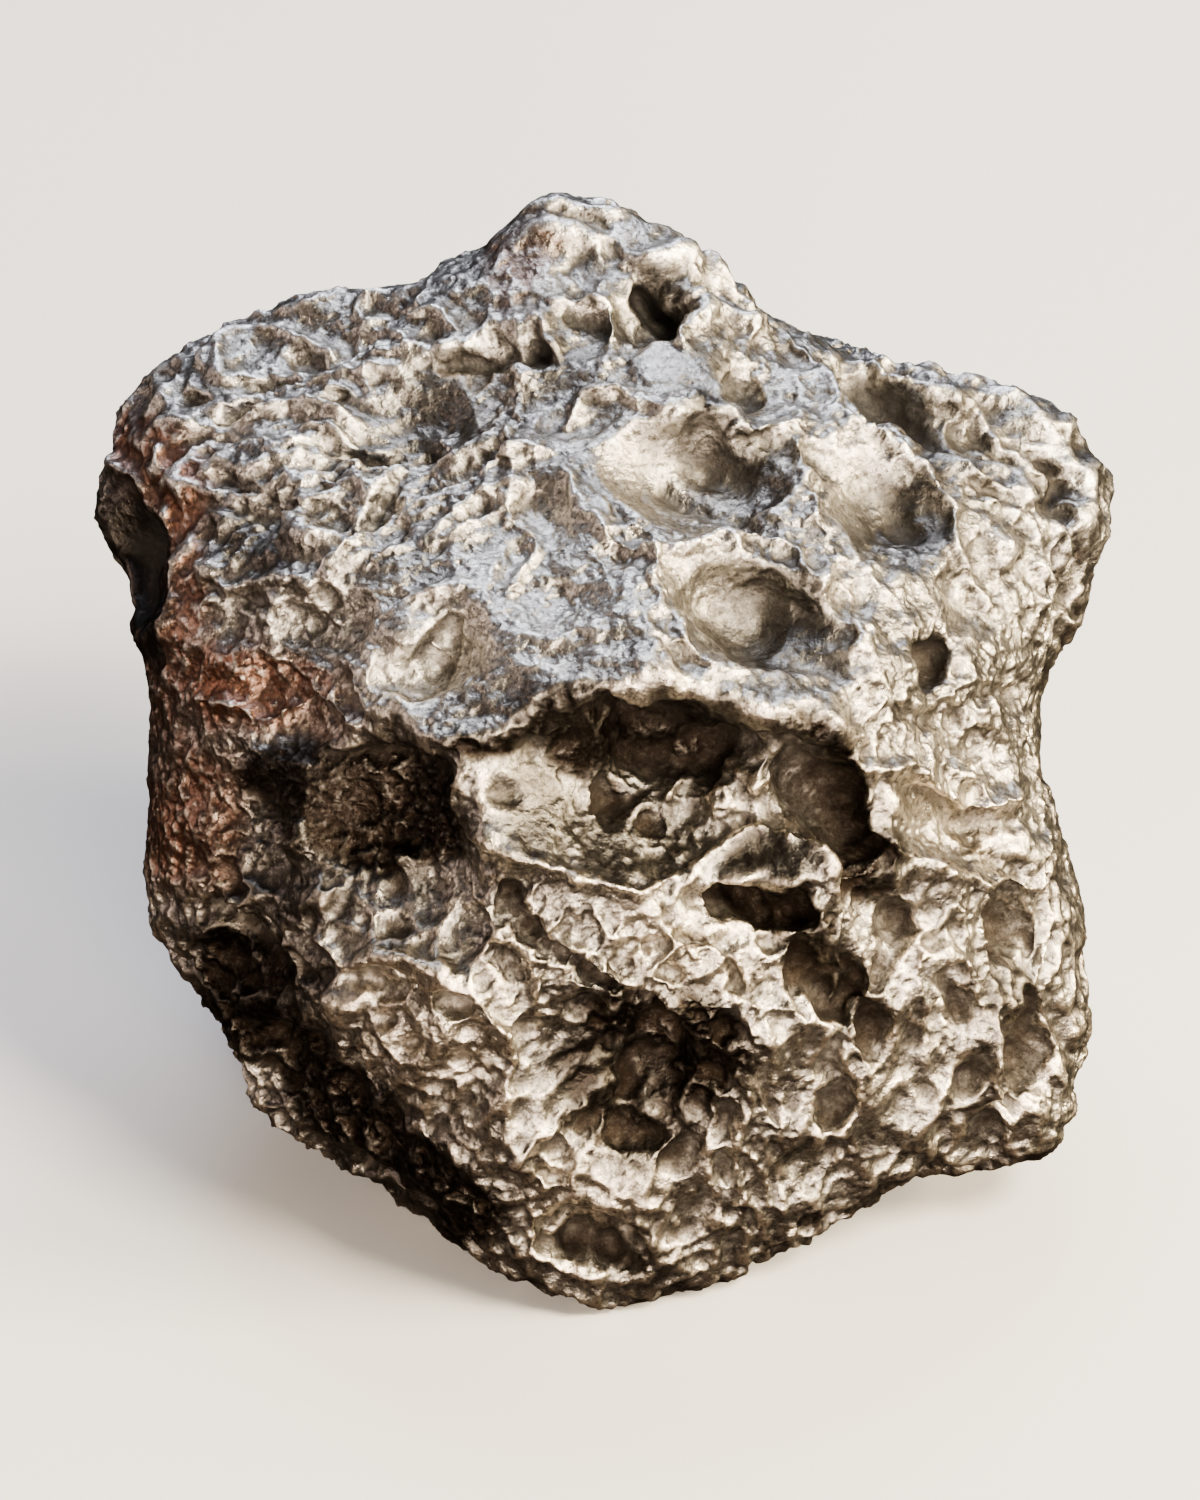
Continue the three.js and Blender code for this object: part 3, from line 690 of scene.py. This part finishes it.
# Colour for dark crust, and for painted shade in the zones and on downward faces.
DARK_CRUST_AND_SHADE = ((0.040, 0.036, 0.033), (0.015, 0.011, 0.009))


class Nodes:
    """A material's or a world's node tree, emptied and ready to build."""

    def __init__(self, owner):
        owner.use_nodes = True
        self.tree = owner.node_tree
        self.tree.nodes.clear()

    def add(self, kind, **settings):
        node = self.tree.nodes.new(kind)
        for key, value in settings.items():
            setattr(node, key, value)
        return node

    def link(self, out, into):
        self.tree.links.new(out, into)


def iron_material():
    material = bpy.data.materials.new("bare_iron")
    n = Nodes(material)
    out = n.add("ShaderNodeOutputMaterial")
    shader = n.add("ShaderNodeBsdfPrincipled")
    n.link(shader.outputs["BSDF"], out.inputs["Surface"])
    place = n.add("ShaderNodeTexCoord").outputs["Object"]
    hollow_shade_and_oxide, crest, reddish, crust_and_lower_shade, calm, bronze = (
        n.add("ShaderNodeAttribute", attribute_name=name).outputs["Fac"]
        for name in ("hollow_shade_and_oxide", "crest", "reddish", "crust_and_lower_shade", "calm", "bronze")
    )

    def texture(scale, detail, roughness=0.6):
        node = n.add("ShaderNodeTexNoise")
        node.inputs["Scale"].default_value = scale
        node.inputs["Detail"].default_value = detail
        node.inputs["Roughness"].default_value = roughness
        n.link(place, node.inputs["Vector"])
        return node.outputs["Fac"]

    def spread_to(value, low_in, high_in, low_out, high_out):
        node = n.add("ShaderNodeMapRange")
        limits = {"From Min": low_in, "From Max": high_in, "To Min": low_out, "To Max": high_out}
        for key, number in limits.items():
            node.inputs[key].default_value = number
        n.link(value, node.inputs["Value"])
        return node.outputs["Result"]

    def product(a, b):
        node = n.add("ShaderNodeMath", operation="MULTIPLY")
        n.link(a, node.inputs[0])
        n.link(b, node.inputs[1])
        return node.outputs["Value"]

    def blend(amount, below, above):
        node = n.add("ShaderNodeMix", data_type="RGBA")
        n.link(amount, node.inputs["Factor"])
        for value, socket in ((below, node.inputs[6]), (above, node.inputs[7])):
            if isinstance(value, tuple):
                socket.default_value = (*value, 1)
            else:
                n.link(value, socket)
        return node.outputs[2]

    mottle = texture(220, 8, 0.7)
    grain = texture(2600, 2)
    fleck = texture(1500, 5, 0.8)
    speck = texture(3400, 3, 0.7)
    colour = blend(spread_to(mottle, 0.35, 0.65, 0, 1), DULL_IRON, CLEAN_IRON)
    colour = blend(spread_to(fleck, 0.5, 0.64, 0, 0.8), colour, BRIGHT_FLECK)
    colour = blend(spread_to(fleck, 0.48, 0.36, 0, 0.75), colour, DARK_FLECK)
    colour = blend(spread_to(calm, 0, 1, 0, 0.6), colour, SMOOTH_IRON)
    # Reddish brown tint, patchy.
    colour = blend(product(reddish, spread_to(mottle, 0.3, 0.6, 0.45, 0.95)), colour, REDDISH_BROWN)
    # Painted highlight on crests, weaker where the painted shade darkens.
    colour = blend(product(crest, spread_to(crust_and_lower_shade, 0, 1, 0.9, 0.3)), colour, blend(bronze, *CREST_HIGHLIGHT))
    # Dark crust and painted shade, a little less on crests.
    colour = blend(product(crust_and_lower_shade, spread_to(crest, 0, 1, 1, 0.7)), colour, blend(bronze, *DARK_CRUST_AND_SHADE))
    # Painted shade and dark oxide in hollows.
    colour = blend(product(hollow_shade_and_oxide, spread_to(mottle, 0.3, 0.7, 1, 0.75)), colour, blend(bronze, *HOLLOW_SHADE_AND_OXIDE))
    colour = blend(spread_to(speck, 0.5, 0.36, 0, 0.65), colour, DARK_SPECK)
    n.link(colour, shader.inputs["Base Color"])
    n.link(spread_to(hollow_shade_and_oxide, 0.3, 1, 1, 0.75), shader.inputs["Metallic"])
    shader.inputs["Specular IOR Level"].default_value = 0.2

    shine = n.add("ShaderNodeMath", operation="ADD")
    n.link(spread_to(fleck, 0.35, 0.65, 0.42, 0.26), shine.inputs[0])
    n.link(spread_to(hollow_shade_and_oxide, 0.2, 1, 0, 0.3), shine.inputs[1])
    n.link(shine.outputs["Value"], shader.inputs["Roughness"])

    heights = n.add("ShaderNodeMath", operation="ADD")
    n.link(grain, heights.inputs[0])
    n.link(fleck, heights.inputs[1])
    fine_bump = n.add("ShaderNodeBump")
    fine_bump.inputs["Strength"].default_value = 0.7
    fine_bump.inputs["Distance"].default_value = 0.0001
    n.link(heights.outputs["Value"], fine_bump.inputs["Height"])
    n.link(fine_bump.outputs["Normal"], shader.inputs["Normal"])
    return material


def plain_material(name, colour, roughness):
    material = bpy.data.materials.new(name)
    n = Nodes(material)
    out = n.add("ShaderNodeOutputMaterial")
    shader = n.add("ShaderNodeBsdfPrincipled")
    shader.inputs["Base Color"].default_value = (*colour, 1)
    shader.inputs["Roughness"].default_value = roughness
    n.link(shader.outputs["BSDF"], out.inputs["Surface"])
    return material


skin_object.data.materials.clear()
skin_object.data.materials.append(iron_material())
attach(skin_object, "root")
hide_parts("meteorite")

# ---- Floor ----
FLOOR_SIZE = 6
FLOOR_GAP = 0.00002  # under the lump, so that the two faces don't fight

bpy.ops.mesh.primitive_plane_add(size=FLOOR_SIZE, location=(0, 0, low.z - FLOOR_GAP))
floor = bpy.context.object
floor.name = "floor"
floor.data.materials.append(plain_material("pale_floor", (0.86, 0.86, 0.86), 0.9))
floor.visible_glossy = False

# ---- Lights. Azimuth runs from the viewer's side, positive to the right ----
LAMP_DISTANCE = 0.5
# Square lamps that look at the lump: (name, azimuth, elevation, size, watts, colour)
LAMPS = [
    ("window", 185, 55, 0.3, 1.7, (0.80, 0.86, 1.0)),
    ("key", 78, 20, 0.18, 4.6, (1.0, 0.84, 0.58)),
    ("high_key", 48, 50, 0.14, 3.2, (1.0, 0.88, 0.68)),
    ("front", 14, 14, 0.14, 2.4, (1.0, 0.84, 0.68)),
    ("low_front", -24, 4, 0.14, 1.0, (1.0, 0.82, 0.66)),
    ("left_glow", -95, 12, 0.2, 0.4, (1.0, 0.80, 0.70)),
]
# The studio around the lump: soft glows on a dim wall, which the bare iron mirrors.
# (azimuth, elevation, how wide, strength, colour)
GLOWS = [
    (180, 45, 0.3, 0.29, (0.76, 0.82, 1.0)),
    (85, 20, 0.3, 0.75, (1.0, 0.83, 0.60)),
    (10, 30, 0.25, 0.30, (1.0, 0.82, 0.62)),
    (-90, 15, 0.4, 0.06, (1.0, 0.80, 0.70)),
    (0, -60, 0.5, 0.12, (1.0, 0.70, 0.50)),
]
BACKDROP = (0.9, 0.9, 0.9, 1)  # what a camera sees instead of them

middle_point = from_face(np.zeros((1, 3)))[0]


def direction(azimuth, elevation):
    az, el = math.radians(azimuth), math.radians(elevation)
    return Vector((math.sin(az) * math.cos(el), -math.cos(az) * math.cos(el), math.sin(el)))


def soft_light(name, azimuth, elevation, size, watts, colour):
    data = bpy.data.lights.new(name, "AREA")
    data.energy, data.size, data.color = watts, size, colour
    lamp = bpy.data.objects.new(name, data)
    bpy.context.scene.collection.objects.link(lamp)
    way = direction(azimuth, elevation)
    lamp.location = Vector(middle_point) + way * LAMP_DISTANCE
    lamp.rotation_euler = (-way).to_track_quat("-Z", "Y").to_euler()


def glow_light(n, way, azimuth, elevation, spread, strength, colour):
    """One glow's light in the direction given by the socket way."""
    towards = n.add("ShaderNodeVectorMath", operation="DOT_PRODUCT")
    towards.inputs[1].default_value = direction(azimuth, elevation)
    n.link(way, towards.inputs[0])
    glow = n.add("ShaderNodeMapRange", interpolation_type="SMOOTHSTEP")
    glow.inputs["From Min"].default_value = 1 - 2 * spread
    glow.inputs["From Max"].default_value = 1 - 0.2 * spread
    glow.inputs["To Max"].default_value = strength
    n.link(towards.outputs["Value"], glow.inputs["Value"])
    tint = n.add("ShaderNodeVectorMath", operation="SCALE")
    tint.inputs[0].default_value = colour
    n.link(glow.outputs["Result"], tint.inputs["Scale"])
    return tint.outputs["Vector"]


def studio_world():
    world = bpy.data.worlds.new("studio")
    n = Nodes(world)
    way = n.add("ShaderNodeTexCoord").outputs["Generated"]
    total, *others = [glow_light(n, way, *glow) for glow in GLOWS]
    for light in others:
        both = n.add("ShaderNodeVectorMath", operation="ADD")
        n.link(total, both.inputs[0])
        n.link(light, both.inputs[1])
        total = both.outputs["Vector"]
    around = n.add("ShaderNodeBackground")
    n.link(total, around.inputs["Color"])
    pale = n.add("ShaderNodeBackground")
    pale.inputs["Color"].default_value = BACKDROP
    choose = n.add("ShaderNodeMixShader")
    n.link(n.add("ShaderNodeLightPath").outputs["Is Camera Ray"], choose.inputs["Fac"])
    n.link(around.outputs["Background"], choose.inputs[1])
    n.link(pale.outputs["Background"], choose.inputs[2])
    n.link(choose.outputs["Shader"], n.add("ShaderNodeOutputWorld").inputs["Surface"])
    return world


for lamp in LAMPS:
    soft_light(*lamp)
bpy.context.scene.world = studio_world()

# ---- Camera, at the photo's angle ----
VIEW_HEIGHT = 75 * MM  # what the frame's height takes in, at the lump

camera_data = bpy.data.cameras.new("camera")
camera = bpy.data.objects.new("camera", camera_data)
bpy.context.scene.collection.objects.link(camera)
bpy.context.scene.camera = camera
camera_data.sensor_width = 36
camera_data.lens = 300
camera_data.clip_end = 20
away = Vector(AXES[2])
camera.location = Vector(middle_point) + away * (VIEW_HEIGHT * camera_data.lens / camera_data.sensor_width)
camera.rotation_euler = (-away).to_track_quat("-Z", "Y").to_euler()

bpy.context.scene.view_settings.look = "AgX - Medium High Contrast"

bpy.context.view_layer.update()
